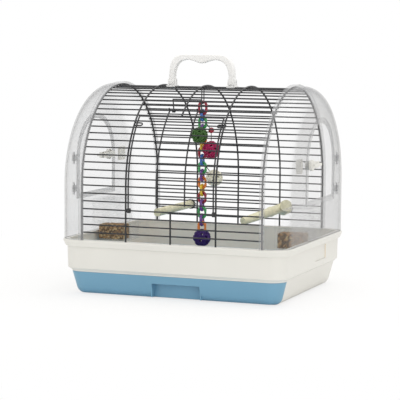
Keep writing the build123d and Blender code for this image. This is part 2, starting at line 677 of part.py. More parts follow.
def leg_x(side):
    return HANDLE_X + side * (HANDLE_WIDTH - HANDLE_BAR) / 2


def rounded(bar, radius):
    """Round the long edges on the front and back faces of a handle part, above the pivot."""
    edges = bar.edges().filter_by(
        lambda e: abs(abs(e.center().Y) - HANDLE_DEPTH / 2) < 0.01 and e.center().Z > HANDLE_PIVOT_Z + 1)
    return fillet(edges, radius)


def make_handle():
    bow = extrude(Plane.XZ.offset(-HANDLE_DEPTH / 2) * handle_outline(), HANDLE_DEPTH)
    handle = rounded(bow, HANDLE_EDGE_R)
    for side in (-1, 1):
        x0, x1 = leg_x(side) - HANDLE_BAR / 2, leg_x(side) + HANDLE_BAR / 2
        handle += x_rod(x0, x1, 0, HANDLE_PIVOT_Z, HANDLE_BOSS_R)
        handle -= x_rod(x0 - 1, x1 + 1, 0, HANDLE_PIVOT_Z, HANDLE_PIN_R + RUN_GAP)
    return handle


def make_clip(side):
    """Saddle snapped round the two ridge wires, with two ears and a pin for the handle."""
    x = leg_x(side)
    inner = HANDLE_BAR / 2 + SEAT_GAP
    outer = inner + CLIP_EAR_T
    wire_y, wire_z = arch_point(row(CROSS_PER_SIDE - 1), CROSS_RADIUS)
    plate_z = wire_z + CROSS_R + TOUCH
    clip = box(x - outer, x + outer, -CLIP_HALF_Y, CLIP_HALF_Y, plate_z, plate_z + CLIP_PLATE_T)
    for ear in (-1, 1):
        x0, x1 = sorted((x + ear * inner, x + ear * outer))
        clip += x_rod(x0, x1, 0, HANDLE_PIVOT_Z, CLIP_EAR_R)
        clip += box(x0, x1, -CLIP_EAR_R, CLIP_EAR_R, plate_z, HANDLE_PIVOT_Z)
        clip -= x_rod(x0 - 0.1, x1 + 0.1, 0, HANDLE_PIVOT_Z, HANDLE_PIN_R + RUN_GAP / 2)
    ring_r = CROSS_R + RUN_GAP + CLIP_RING_WALL
    for y in (wire_y, -wire_y):
        clip += x_rod(x - outer, x + outer, y, wire_z, ring_r)
        clip -= x_rod(x - outer - 1, x + outer + 1, y, wire_z, CROSS_R + RUN_GAP)
    return clip


def make_handle_pin(side):
    reach = HANDLE_BAR / 2 + SEAT_GAP + CLIP_EAR_T
    return x_rod(leg_x(side) - reach, leg_x(side) + reach, 0, HANDLE_PIVOT_Z, HANDLE_PIN_R)


def screw_z(row_index):
    """Height midway between two cross wires of the rear grille."""
    return RIM_Z + row(row_index) + CROSS_PITCH / 2


perch_end = CROSS_RADIUS - CROSS_R - SEAT_GAP
washer_y = CROSS_RADIUS + CROSS_R + SEAT_GAP
nut_y = washer_y + WASHER_T + TOUCH
PERCHES = ((DOWEL_X, screw_z(DOWEL_ROW)), (BRANCH_X, screw_z(BRANCH_ROW)))


def y_rod(x, z, y0, y1, r):
    return rod((x, y0, z), (x, y1, z), r)


def cone_bar(a, b, ra, rb):
    """Tapering round bar with flat ends."""
    return Plane(origin=(a + b) / 2, z_dir=b - a) * Cone(ra, rb, (b - a).length)


def make_dowel():
    z = screw_z(DOWEL_ROW)
    dowel = y_rod(DOWEL_X, z, DOWEL_FRONT_Y, perch_end, DOWEL_R)
    return dowel - y_rod(DOWEL_X, z, perch_end - SCREW_HEAD_GRIP, perch_end + 1, SCREW_R + RUN_GAP)


def make_branch():
    """Natural forked branch: a crooked trunk from the rear grille and one side branch."""
    z = screw_z(BRANCH_ROW)
    end = Vector(BRANCH_X, perch_end, z)
    root, fork, tip, knee, twig = (end + Vector(*offset) for offset in (
        (0, -ROOT_LENGTH, 0), FORK, TRUNK_TIP, KNEE, TWIG_TIP))
    branch = y_rod(BRANCH_X, z, root.Y, perch_end, TRUNK_R - BARK_STEP)
    branch += cone_bar(root, fork, TRUNK_R - BARK_STEP, TRUNK_R)
    branch += cone_bar(fork, tip, TRUNK_R, TRUNK_R + TIP_SWELL)
    branch += cone_bar(fork, knee, TRUNK_R - 2 * BARK_STEP, TWIG_R + BARK_STEP)
    branch += cone_bar(knee, twig, TWIG_R + BARK_STEP, TWIG_R - BARK_STEP)
    knots = ((root, fork - root, TRUNK_R - BARK_STEP), (fork, fork - root, TRUNK_R),
             (knee, knee - fork, TWIG_R + BARK_STEP))
    for point, along, r in knots:
        branch += Plane(origin=point, z_dir=along) * Sphere(r + KNOT_SWELL)
    return branch - y_rod(BRANCH_X, z, perch_end - SCREW_HEAD_GRIP, perch_end + 1, SCREW_R + RUN_GAP)


def make_perch_fasteners():
    screws, washers, nuts = [], [], []
    tail = nut_y + NUT_HUB_T + SCREW_TAIL
    for x, z in PERCHES:
        screws.append(y_rod(x, z, perch_end - SCREW_HEAD_GRIP + TOUCH, tail, SCREW_R))
        washers.append(y_rod(x, z, washer_y, washer_y + WASHER_T, WASHER_R)
                       - y_rod(x, z, washer_y - 1, washer_y + 2 * WASHER_T, SCREW_R + RUN_GAP))
        hub = y_rod(x, z, nut_y, nut_y + NUT_HUB_T, NUT_HUB_R)
        hub += box(x - NUT_WING_SPAN / 2, x + NUT_WING_SPAN / 2, nut_y, nut_y + NUT_WING_H,
                   z - NUT_WING_T / 2, z + NUT_WING_T / 2)
        gap = box(x - NUT_HUB_R, x + NUT_HUB_R, nut_y + NUT_HUB_T, nut_y + NUT_WING_H + 1, z - 9, z + 9)
        nuts.append(hub - gap - y_rod(x, z, nut_y - 1, nut_y + 9, SCREW_R + RUN_GAP))
    save("perch_screws", screws)
    save("perch_washers", washers)
    save("perch_wing_nuts", nuts)


def oval_link(centre, half, length, r, across):
    """Closed oval link standing on end; across picks the XZ plane, else the YZ plane."""
    x, y, z = centre
    straight = length / 2 - half

    def at(u, w):
        return (x + u, y, z + w) if across else (x, y + u, z + w)

    edges = [Line(at(-half, -straight), at(-half, straight)),
             ThreePointArc(at(-half, straight), at(0, straight + half), at(half, straight)),
             Line(at(half, straight), at(half, -straight)),
             ThreePointArc(at(half, -straight), at(0, -straight - half), at(-half, -straight))]
    return swept(edges, r)


def make_toy():
    toy_y, wire_z = arch_point(row(CROSS_PER_SIDE - 1), CROSS_RADIUS)
    top = wire_z + CROSS_R + RUN_GAP + HANGER_R
    centre_z = top - HANGER_LENGTH / 2
    save("toy_hanger", [oval_link((TOY_X, toy_y, centre_z), HANGER_HALF, HANGER_LENGTH, HANGER_R, False)])
    low = centre_z - HANGER_LENGTH / 2
    ring_z = low + HANGER_R + BIG_LINK_R + TOUCH - BIG_LINK_LENGTH / 2
    save("toy_ring", [oval_link((TOY_X, toy_y, ring_z), BIG_LINK_HALF, BIG_LINK_LENGTH, BIG_LINK_R, True)])
    low = ring_z - BIG_LINK_LENGTH / 2
    below_r = BIG_LINK_R
    groups = {}
    centres = []
    for number, colour in enumerate(LINK_COLOURS):
        z = low + below_r + LINK_R + TOUCH - LINK_LENGTH / 2
        link = oval_link((TOY_X, toy_y, z), LINK_HALF, LINK_LENGTH, LINK_R, number % 2 == 1)
        groups.setdefault(colour, []).append(link)
        centres.append(z)
        low = z - LINK_LENGTH / 2
        below_r = LINK_R
    for colour, links in groups.items():
        save(f"toy_links_{colour}", links)
    make_side_balls(toy_y, centres)
    ball_z = low - LINK_R - TOUCH - END_BALL_R
    save("toy_ball_violet", [Pos(TOY_X, toy_y, ball_z) * Sphere(END_BALL_R)])


def make_side_balls(toy_y, link_zs):
    """Balls tied to the side of the chain, one of them below a bead."""
    ties = []
    for colour, (dx, dy, r, rise, level, tied_to) in SIDE_BALLS.items():
        centre = Vector(TOY_X + dx, toy_y + dy, link_zs[level] + rise)
        save(f"toy_ball_{colour}", [Pos(centre) * Sphere(r)])
        held, held_r = centre, r
        if colour == "crimson":
            held = centre + Vector(0, 0, r + BEAD_RISE + BEAD_R)
            held_r = BEAD_R
            save("toy_bead", [Pos(held) * Sphere(BEAD_R)])
            ties.append(rod(centre + Vector(0, 0, r + TOUCH), held - Vector(0, 0, BEAD_R + TOUCH), TIE_R))
        reach = LINK_HALF + LINK_R + TIE_R
        side = Vector(reach, 0, 0) if tied_to % 2 else Vector(0, -reach, 0)
        start = Vector(TOY_X, toy_y, link_zs[tied_to]) + side
        aim = held - start
        ties.append(rod(start, start + aim.normalized() * (aim.length - held_r - TOUCH), TIE_R))
    save("toy_ties", ties)


save("base_tub", [make_tub()])
save("drawer", [make_drawer()])
make_wires()
save("door_catches", [make_catch(-1), make_catch(1)])
make_front_door()
save("latch_bail", [make_bail()])
save_pair("shell", [make_shell()])
save_pair("end_door", [make_end_door()])
save_pair("end_hinge_pins", make_hinge_pins())
save_pair("latch_lever", [make_lever()])
save_pair("latch_tongue", [make_tongue()])
save_pair("latch_keeper", [make_keeper()])
save_pair("feeder_hood", [make_hood()])
save("seed_cup_right", [make_cup("front")])
save("seed_cup_left", [turned(make_cup("rear"))])
save("water_cup_right", [make_cup("rear")])
save("water_cup_left", [turned(make_cup("front"))])
save("seed_right", [make_seed("front")])
save("seed_left", [turned(make_seed("rear"))])
save("handle", [make_handle()])
save("handle_clips", [make_clip(-1), make_clip(1)])
save("handle_pins", [make_handle_pin(-1), make_handle_pin(1)])
save("perch_dowel", [make_dowel()])
save("perch_branch", [make_branch()])
make_perch_fasteners()
make_toy()
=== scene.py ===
import json
import math
import random

import bpy
from bpy.props import FloatProperty, FloatVectorProperty, IntProperty, PointerProperty
from mathutils import Matrix, Vector


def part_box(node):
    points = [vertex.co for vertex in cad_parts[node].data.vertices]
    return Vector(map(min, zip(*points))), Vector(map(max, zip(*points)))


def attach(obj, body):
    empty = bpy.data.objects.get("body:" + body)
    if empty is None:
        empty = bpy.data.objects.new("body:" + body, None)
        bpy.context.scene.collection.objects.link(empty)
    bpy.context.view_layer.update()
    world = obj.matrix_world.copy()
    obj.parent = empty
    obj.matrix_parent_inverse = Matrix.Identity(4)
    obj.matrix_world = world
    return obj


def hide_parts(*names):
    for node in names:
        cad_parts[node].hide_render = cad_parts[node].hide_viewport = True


bl_info = {
    "name": "Bird cage dressing",
    "version": (1, 0, 0),
    "blender": (4, 5, 0),
    "location": "3D view > Sidebar > Bird cage",
    "description": "Finishes and fine pieces of a barrel-topped travel cage for small birds",
    "category": "Object",
}

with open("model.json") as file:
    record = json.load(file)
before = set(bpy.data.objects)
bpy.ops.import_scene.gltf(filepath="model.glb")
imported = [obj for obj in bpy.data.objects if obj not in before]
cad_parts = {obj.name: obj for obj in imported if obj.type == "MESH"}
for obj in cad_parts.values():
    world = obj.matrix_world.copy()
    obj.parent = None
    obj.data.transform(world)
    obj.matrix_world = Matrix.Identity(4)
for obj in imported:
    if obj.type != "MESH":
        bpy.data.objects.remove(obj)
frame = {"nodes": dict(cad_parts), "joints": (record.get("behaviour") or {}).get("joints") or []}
MM = 0.001
ENDS = ("left", "right")

# End doors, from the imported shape: outline, width of the thick rim and how dense the rim looks
DOOR_CENTRE_Y = 14.5 * MM
DOOR_HALF = 67.1 * MM
DOOR_SILL_Z = 133.4 * MM
DOOR_SPRING_Z = 190.5 * MM
DOOR_RIM = 8.0 * MM
DOOR_RIM_DENSITY = 0.46

# End shells: where the band that holds them begins, and how dense it looks
SHELL_BAND_X = 141.0 * MM
BAND_DENSITY = 0.24

# Inner walls of the tub, which get a painted light: where it begins, and how far a surface has to face the
# middle
INNER_WALL_LOW_Z = 45.0 * MM
FACES_IN = -0.02

# Colour sockets of a mix node
MIX_A, MIX_B, MIX_RESULT = 6, 7, 2

# Nodes by finish
WIRE_NODES = [f"hoop_wire_{i}" for i in range(1, 6)] + [
    "hoop_stub", "rear_cross_wires", "roof_cross_wires", "lower_front_wires", "left_front_wires",
    "right_front_wires", "door_catches", "door_frame", "door_cross_wires", "door_hook_wires",
    "latch_bail", "toy_hanger", "toy_ties"]
LATCH_NODES = [f"latch_{part}_{end}" for part in ("lever", "tongue", "keeper") for end in ENDS]
HANDLE_NODES = ["handle", "handle_clips"]
SHELL_NODES = [f"shell_{end}" for end in ENDS]
DOOR_NODES = [f"end_door_{end}" for end in ENDS]
CUP_NODES = [f"{part}_{end}" for part in ("feeder_hood", "seed_cup", "water_cup") for end in ENDS]
STEEL_NODES = ["handle_pins", "perch_screws", "perch_washers", "perch_wing_nuts"] + [
    f"end_hinge_pins_{end}" for end in ENDS]

# Toy chain: colours from the top, packed length of a link, and its bar where it was snapped shut
LINK_ORDER = ("blue", "green", "purple", "orange", "yellow", "red", "blue", "green", "purple", "orange",
              "yellow", "red", "purple", "green", "purple", "orange")
CHAIN_LINK_LENGTH = 13.95 * MM
SNAPPED_SHARE = 0.7

# Cane balls, with the slot of each
CANE_BALLS = {"green": "rattan_green", "crimson": "rattan_crimson", "cream": "rattan_cream",
              "violet": "toy_purple"}

# Segments of a ring: round the ring, and round its bar
LINK_SEGMENTS = (36, 12)
CANE_SEGMENTS = (56, 6)
COIL_SEGMENTS = (28, 8)

# Loose seed: first number of the draws, proportions of a grain, how it lies (mm up, radians of tilt),
# and the size of a grain in the shader
SEED_DRAW = 7
GRAIN_SHAPE = (1.0, 0.55, 0.5)
GRAIN_LIFT = (-0.2, 0.8)
GRAIN_TILT = 0.5
GRAIN_CELLS = 430.0

# Hinge coils: half the wire's thickness, step from turn to turn, inset from the frame, lean of a turn
COIL_WIRE = 0.58 * MM
COIL_PITCH = 1.02 * MM
COIL_INSET = 0.5 * MM
COIL_LEAN = 0.05

# Studio
CLEAR_LAYERS = 48
WHITE = (1.0, 1.0, 1.0, 1.0)
ROOM_TINT = (1.0, 0.98, 0.94, 1.0)
FLOOR_SIZE = 12.0
FLOOR_FADE = {"From Min": 0.15, "From Max": 0.75, "To Min": 0.72, "To Max": 1.0}
LAMPS = (("key_light", (-0.9, -2.3, 1.4), 1.6, "key_power"),
         ("fill_light", (1.5, -2.1, 0.6), 1.2, "fill_power"),
         ("top_light", (0.3, 0.2, 2.1), 1.6, "top_power"))
LAMP_AIM = (0.0, 0.0, 0.15)
SENSOR_WIDTH = 36.0
CAMERA_REACH = 50.0


def colour(name, description, value):
    return FloatVectorProperty(name=name, description=description, default=value, size=3, subtype="COLOR",
                               min=0.0, max=1.0)


def length(name, description, value):
    return FloatProperty(name=name, description=description, default=value, unit="LENGTH",
                         subtype="DISTANCE")


class CageColours(bpy.types.PropertyGroup):
    """Colours of the cage's own materials."""

    tub: colour("Tub white", "Warm white moulded plastic", (0.755, 0.75, 0.715))
    # Painted light: a lighter, warmer tone on the tub's inner walls in place of the light that reaches
    # inside
    tub_inside_painted_light: colour("Tub inside", "Warmer tone of the tub's inner walls", (0.94, 0.855, 0.745))
    handle: colour("Handle white", "Cooler white of the handle", (0.90, 0.90, 0.90))
    drawer: colour("Drawer blue", "Grey blue moulded plastic", (0.17, 0.365, 0.52))
    wire: colour("Wire black", "Coated steel wire", (0.012, 0.012, 0.014))
    clear: colour("Clear tint", "Faint grey of the clear plastic", (0.44, 0.445, 0.46))
    wood: colour("Perch wood", "Light debarked wood", (0.84, 0.79, 0.58))
    seed: colour("Seed", "Mixed seed, middle tone", (0.29, 0.165, 0.065))
    steel: colour("Zinc", "Zinc plated pins and screws", (0.55, 0.55, 0.56))


class ToyColours(bpy.types.PropertyGroup):
    """Colours of the hanging toy."""

    red: colour("Red", "Dark red links", (0.30, 0.012, 0.035))
    blue: colour("Blue", "Blue links", (0.035, 0.15, 0.50))
    green: colour("Green", "Green links", (0.05, 0.36, 0.10))
    yellow: colour("Yellow", "Yellow links", (0.80, 0.55, 0.04))
    orange: colour("Orange", "Orange links", (0.80, 0.22, 0.03))
    purple: colour("Purple", "Purple links", (0.16, 0.05, 0.30))
    ball_green: colour("Green cane", "Dyed cane ball", (0.05, 0.135, 0.028))
    ball_crimson: colour("Crimson cane", "Dyed cane ball", (0.33, 0.006, 0.075))
    ball_violet: colour("Violet cane", "Dyed cane ball", (0.035, 0.007, 0.125))
    ball_cream: colour("Cream cane", "Natural cane ball", (0.82, 0.77, 0.60))


class CaneSizes(bpy.types.PropertyGroup):
    """Woven cane balls."""

    strips: IntProperty(name="Strips", description="Cane rings in one ball", default=19, min=6, max=24)
    cane_radius: length("Cane radius", "Half the thickness of a cane strip", 1.15 * MM)
    weave: length("Weave", "How far a strip rises over and dips under the others", 0.6 * MM)
    waves: IntProperty(name="Waves", description="Rises of one strip in a turn", default=7, min=3, max=12)


class SeedSizes(bpy.types.PropertyGroup):
    """Loose seed on top of the fill in each seed cup."""

    grains: IntProperty(name="Grains", description="Loose grains in one cup", default=260, min=20, max=500)
    grain_length: length("Grain length", "Longest size of a grain", 3.0 * MM)
    spread_x: length("Spread along the cup", "Half length covered", 19.0 * MM)
    spread_y: length("Spread across the cup", "Half width covered", 13.4 * MM)


class LinkSizes(bpy.types.PropertyGroup):
    """Moulded links of the toy's chain."""

    half_width: length("Half width", "From the middle of a link to the middle of its side", 5.2 * MM)
    bar_radius: length("Bar radius", "Half the thickness of a link", 2.1 * MM)
    gap: FloatProperty(name="Gap", description="Opening of a link as a share of its turn", default=0.05,
                       min=0.0, max=0.2)


class CoilSizes(bpy.types.PropertyGroup):
    """Wire turns that hold the front door and the latch bail on their hinge wires."""

    turns: IntProperty(name="Turns", description="Turns side by side", default=3, min=2, max=8)
    door_radius: length("Door coil radius", "Centre radius of a turn", 2.9 * MM)
    bail_radius: length("Bail coil radius", "Centre radius of a turn", 2.0 * MM)


class StudioSettings(bpy.types.PropertyGroup):
    """Camera and light of the studio."""

    lens: FloatProperty(name="Lens", description="Focal length on a 36 mm sensor", default=153.99)
    azimuth: FloatProperty(name="Azimuth", description="Degrees right of the front", default=21.03)
    elevation: FloatProperty(name="Elevation", description="Degrees above the table", default=5.75)
    roll: FloatProperty(name="Roll", description="Camera roll in degrees", default=0.39)
    camera_place: FloatVectorProperty(name="Camera", description="Camera position", size=3, unit="LENGTH",
                                      default=(0.8989, -2.3629, 0.3860))
    key_power: FloatProperty(name="Key light", description="Power of the large front light", default=4.0,
                             unit="POWER")
    fill_power: FloatProperty(name="Fill light", description="Power of the low right light", default=6.5,
                              unit="POWER")
    top_power: FloatProperty(name="Top light", description="Power of the overhead light", default=16.0,
                             unit="POWER")
    ambient: FloatProperty(name="Ambient", description="Strength of the even room light", default=0.85)


class Socket:
    """An output socket of a shader tree that takes part in Python arithmetic."""

    def __init__(self, finish, socket):
        self.finish = finish
        self.socket = socket

    def maths(self, operation, *values):
        return self.finish.node("ShaderNodeMath", {"operation": operation}, dict(enumerate(values)))

    def __add__(self, other):
        return self.maths("ADD", self, other)

    def __sub__(self, other):
        return self.maths("SUBTRACT", self, other)

    def __rsub__(self, other):
        return self.maths("SUBTRACT", other, self)

    def __mul__(self, other):
        return self.maths("MULTIPLY", self, other)

    def __pow__(self, other):
        return self.maths("POWER", self, other)

    def __abs__(self):
        return self.maths("ABSOLUTE", self)

    def least(self, other):
        return self.maths("MINIMUM", self, other)

    def most(self, other):
        return self.maths("MAXIMUM", self, other)

    def below(self, other):
        return self.maths("LESS_THAN", self, other)

    __radd__ = __add__
    __rmul__ = __mul__


class Finish:
    """A procedural material: one Principled shader and the nodes that feed it."""

    def __init__(self, name, **constants):
        self.material = bpy.data.materials.new(name)
        self.material.use_nodes = True
        self.tree = self.material.node_tree
        self.shader = self.tree.nodes["Principled BSDF"]
        for socket, value in constants.items():
            self.shader.inputs[socket.replace("_", " ")].default_value = value
        self.place = self.node("ShaderNodeTexCoord", {}, {}, "Object")

    def axis(self, number):
        """One coordinate of the place: 0 along the cage, 1 across it, 2 up."""
        return self.node("ShaderNodeSeparateXYZ", {}, {"Vector": self.place}, number)

    def vector(self, operation, *values, output="Vector"):
        return self.node("ShaderNodeVectorMath", {"operation": operation}, dict(enumerate(values)), output)

    def node(self, kind, settings, inputs, output=0):
        """Add a node, set it up, feed its sockets, and hand back one output."""
        made = self.tree.nodes.new(kind)
        for setting, value in settings.items():
            if setting == "stops":
                self.set_ramp(made.color_ramp, value)
            else:
                setattr(made, setting, value)
        for key, value in inputs.items():
            if isinstance(value, Socket):
                self.tree.links.new(value.socket, made.inputs[key])
            else:
                made.inputs[key].default_value = value
        return Socket(self, made.outputs[output])

    @staticmethod
    def set_ramp(ramp, stops):
        ramp.interpolation = "CONSTANT"
        while len(ramp.elements) < len(stops):
            ramp.elements.new(1.0)
        for element, (position, value) in zip(ramp.elements, stops):
            element.position = position
            element.color = (*value, 1.0)

    def noise(self, scale, detail=3.0, roughness=0.5, stretch=None):
        place = self.place
        if stretch:
            place = self.node("ShaderNodeMapping", {}, {"Vector": place, "Scale": stretch})
        return self.node("ShaderNodeTexNoise", {}, {"Vector": place, "Scale": scale, "Detail": detail,
                                                    "Roughness": roughness})

    def cells(self, scale, output="Distance"):
        return self.node("ShaderNodeTexVoronoi", {"feature": "F1"}, {"Vector": self.place, "Scale": scale},
                         output)

    def steps(self, factor, stops):
        """Colours in steps, with no blend between them."""
        return self.node("ShaderNodeValToRGB", {"stops": stops}, {"Fac": factor}, "Color")

    def blend(self, factor, a, b):
        values = {0: factor, MIX_A: a, MIX_B: b}
        for key in (MIX_A, MIX_B):
            if not isinstance(values[key], Socket):
                values[key] = (*values[key], 1.0)
        return self.node("ShaderNodeMix", {"data_type": "RGBA"}, values, MIX_RESULT)

    def bump(self, height, distance, strength=1.0):
        return self.node("ShaderNodeBump", {}, {"Height": height, "Distance": distance,
                                                "Strength": strength}, "Normal")

    def feed(self, **sockets):
        for name, value in sockets.items():
            self.tree.links.new(value.socket, self.shader.inputs[name.replace("_", " ")])
        return self.material


def shade(value, factor):
    """A colour made darker or lighter by a factor."""
    return tuple(min(1.0, channel * factor) for channel in value)


def moulded(name, base, roughness, inner=None):
    """Injection moulded plastic: even colour, faint cloudiness and a very fine grain; a second colour
    paints light on the tub's inner walls.
    """
    finish = Finish(name, IOR=1.48, Coat_Roughness=0.25)
    cloud = finish.noise(14.0, detail=2.0)
    grain = finish.noise(900.0, detail=2.0)
    tone = finish.blend(cloud, shade(base, 0.965), shade(base, 1.035))
    if inner:
        # Painted light: the inner walls get a lighter, warmer tone in place of the light that reaches
        # inside the tub
        tone = finish.blend(inner_wall_painted_light(finish), tone, finish.blend(cloud, shade(inner, 0.94), inner))
    return finish.feed(Base_Color=tone, Roughness=roughness + 0.08 * cloud, Coat_Weight=0.12 * cloud,
                       Normal=finish.bump(grain, distance=0.02 * MM, strength=0.35))


def inner_wall_painted_light(finish):
    """Mask of the tub's inner walls above its floor, where the painted light goes: upright faces that look
    towards the middle.
    """
    facing = finish.node("ShaderNodeTexCoord", {}, {}, "Normal")
    level = finish.vector("MULTIPLY", facing, (1.0, 1.0, 0.0))
    outward = finish.vector("DOT_PRODUCT", level, finish.place, output="Value")
    return outward.below(FACES_IN) * (1.0 - finish.axis(2).below(INNER_WALL_LOW_Z))


def coated_wire(base):
    """Black powder coat on wire, with the soft sheen and slight orange peel of the real coat."""
    finish = Finish("wire_coat", IOR=1.5, Coat_Roughness=0.2)
    peel = finish.noise(1600.0, detail=2.0)
    worn = finish.noise(60.0, detail=4.0)
    tone = finish.blend(worn, shade(base, 0.7), shade(base, 1.6))
    return finish.feed(Base_Color=tone, Roughness=0.34 + 0.16 * worn, Coat_Weight=0.25 * worn,
                       Normal=finish.bump(peel, distance=0.03 * MM, strength=0.4))


def clear_moulding(name, tint, face, rim, power, border=None):
    """Clear plastic: nearly unseen face on, denser where it turns away, and darker there with a painted
    shade in place of the dark edges that reflection and refraction give.
    """
    finish = Finish(name, IOR=1.52, Coat_Weight=0.3, Coat_Roughness=0.04)
    turning = finish.node("ShaderNodeLayerWeight", {}, {"Blend": 0.5}, "Facing")
    cloud = finish.noise(9.0, detail=1.0)
    edge_density_and_shade = turning ** power
    alpha = face + (rim - face) * edge_density_and_shade + 0.015 * cloud
    flat = finish.blend(cloud, shade(tint, 0.97), shade(tint, 1.03))
    # Painted shade: the tone darkens towards the edges that turn away from view
    tone = finish.blend(edge_density_and_shade, flat, shade(tint, 0.22))
    if border:
        mask = border(finish)
        alpha = alpha.most(mask)
        tone = finish.blend(mask, tone, shade(tint, 1.2))
    return finish.feed(Base_Color=tone, Roughness=0.06 + 0.04 * cloud, Alpha=alpha)


def door_border(side):
    """Mask of the thick rim round an end door; side is 1 for the right door and -1 for the left."""
    def mask(finish):
        height = finish.axis(2)
        across = abs(finish.axis(1) - side * DOOR_CENTRE_Y)
        above = (height - DOOR_SPRING_Z).most(0.0)
        reach = (across * across + above * above) ** 0.5
        inside = (DOOR_HALF - reach).least(height - DOOR_SILL_Z)
        return DOOR_RIM_DENSITY * inside.below(DOOR_RIM)
    return mask


def shell_band(finish):
    """Mask of the raised band that holds an end shell on its hoop."""
    return BAND_DENSITY * abs(finish.axis(0)).below(SHELL_BAND_X)


def peeled_wood(name, base, stretch):
    """Light perch wood with long fibres, darker flecks and a dry surface."""
    finish = Finish(name, IOR=1.45)
    fibre = finish.noise(260.0, detail=5.0, roughness=0.6, stretch=stretch)
    patch = finish.noise(42.0)
    fleck = finish.cells(120.0)
    tone = finish.blend(fibre, shade(base, 0.72), shade(base, 1.25))
    tone = finish.blend(0.45 * patch, tone, finish.blend(fleck, (0.20, 0.15, 0.07), shade(base, 0.9)))
    return finish.feed(Base_Color=tone, Roughness=0.62 + 0.2 * fibre,
                       Normal=finish.bump(fibre, distance=0.5 * MM, strength=0.6))


def seed_mix(base):
    """Mixed millet: each grain its own tone, from straw to red brown."""
    finish = Finish("seed_mix", IOR=1.45)
    grain = finish.cells(GRAIN_CELLS, output="Color")
    pick = finish.node("ShaderNodeSeparateColor", {}, {"Color": grain}, 0)
    stops = ((0.0, shade(base, 0.45)), (0.35, base), (0.6, shade(base, 1.6)), (0.85, (0.62, 0.47, 0.24)))
    tone = finish.steps(pick, stops)
    dome = 1.0 - finish.cells(GRAIN_CELLS)
    return finish.feed(Base_Color=tone, Roughness=0.45 + 0.25 * pick,
                       Normal=finish.bump(dome, distance=1.2 * MM, strength=0.8))


def toy_plastic(name, base):
    """Glossy coloured plastic with a fine flow pattern."""
    finish = Finish(name, IOR=1.5, Coat_Roughness=0.08)
    flow = finish.noise(180.0, detail=2.0)
    tone = finish.blend(flow, shade(base, 0.85), shade(base, 1.15))
    return finish.feed(Base_Color=tone, Roughness=0.2 + 0.14 * flow, Coat_Weight=0.3 * flow,
                       Normal=finish.bump(flow, distance=0.08 * MM, strength=0.3))


def dyed_cane(name, base):
    """Dyed cane: fibres along the strip, uneven dye, paler where it has rubbed."""
    finish = Finish(name, IOR=1.45)
    fibre = finish.noise(900.0, detail=4.0)
    dye = finish.noise(150.0)
    tone = finish.blend(dye, shade(base, 0.55), shade(base, 1.45))
    return finish.feed(Base_Color=tone, Roughness=0.5 + 0.3 * fibre,
                       Normal=finish.bump(fibre, distance=0.3 * MM, strength=0.7))


def zinc(base):
    """Zinc plated steel."""
    finish = Finish("zinc_plate", Metallic=1.0)
    brush = finish.noise(700.0, stretch=(1.0, 0.2, 1.0))
    tone = finish.blend(brush, shade(base, 0.8), shade(base, 1.2))
    return finish.feed(Base_Color=tone, Roughness=0.25 + 0.25 * brush,
                       Normal=finish.bump(brush, distance=0.03 * MM, strength=0.5))


def dress(nodes, material):
    for name in nodes:
        for slot in frame["nodes"][name].material_slots:
            slot.material = material


def deselect():
    bpy.ops.object.select_all(action="DESELECT")


def set_material(piece, material):
    piece.data.materials.clear()
    piece.data.materials.append(material)


def join_as(objects, name, material):
    """Join objects into one smooth piece of one material, whose place is in its mesh."""
    deselect()
    for item in objects:
        item.select_set(True)
    bpy.context.view_layer.objects.active = objects[0]
    bpy.ops.object.join()
    piece = bpy.context.view_layer.objects.active
    piece.name = name
    piece.data.name = name
    bpy.ops.object.transform_apply(location=True, rotation=True, scale=True)
    set_material(piece, material)
    bpy.ops.object.shade_smooth()
    return piece


def add_ring(radius, bar, segments, **place):
    """Add a ring by the radius to the middle of its bar and half the bar's thickness."""
    deselect()
    bpy.ops.mesh.primitive_torus_add(major_segments=segments[0], minor_segments=segments[1],
                                     major_radius=radius, minor_radius=bar, **place)
    return bpy.context.view_layer.objects.active


class CAGE_OT_wire_finish(bpy.types.Operator):
    """Give every wire its black coat"""

    bl_idname = "cage.wire_finish"
    bl_label = "Coat the wires"

    def execute(self, context):
        dress(WIRE_NODES, coated_wire(context.scene.cage_colours.wire))
        return {"FINISHED"}


class CAGE_OT_tub_finish(bpy.types.Operator):
    """Give the tub, drawer, handle and latches their moulded plastics"""

    bl_idname = "cage.tub_finish"
    bl_label = "Finish the mouldings"

    def execute(self, context):
        colours = context.scene.cage_colours
        # The tub's inner walls carry a painted light, a lighter and warmer tone
        dress(["base_tub"], moulded("tub_white", colours.tub, 0.34, colours.tub_inside_painted_light))
        dress(LATCH_NODES, moulded("latch_white", colours.tub, 0.34))
        dress(HANDLE_NODES, moulded("handle_white", colours.handle, 0.3))
        dress(["drawer"], moulded("drawer_blue", colours.drawer, 0.36))
        return {"FINISHED"}


class CAGE_OT_clear_finish(bpy.types.Operator):
    """Give the end shells, end doors and feeders their clear plastic"""

    bl_idname = "cage.clear_finish"
    bl_label = "Finish the clear parts"

    def execute(self, context):
        tint = context.scene.cage_colours.clear
        dress(SHELL_NODES, clear_moulding("shell_clear", tint, face=0.03, rim=0.85, power=3.3,
                                          border=shell_band))
        for node, side in zip(DOOR_NODES, (-1, 1)):
            dress([node], clear_moulding(f"{node}_clear", tint, face=0.02, rim=0.3, power=3.0,
                                         border=door_border(side)))
        dress(CUP_NODES, clear_moulding("feeder_clear", tint, face=0.015, rim=0.6, power=6.0))
        return {"FINISHED"}


class CAGE_OT_perch_finish(bpy.types.Operator):
    """Give the perches their wood and the small fasteners their zinc"""

    bl_idname = "cage.perch_finish"
    bl_label = "Finish perches and fasteners"

    def execute(self, context):
        colours = context.scene.cage_colours
        dress(["perch_dowel", "perch_branch"], peeled_wood("perch_wood", colours.wood, (1.0, 0.12, 1.0)))
        dress(STEEL_NODES, zinc(colours.steel))
        return {"FINISHED"}


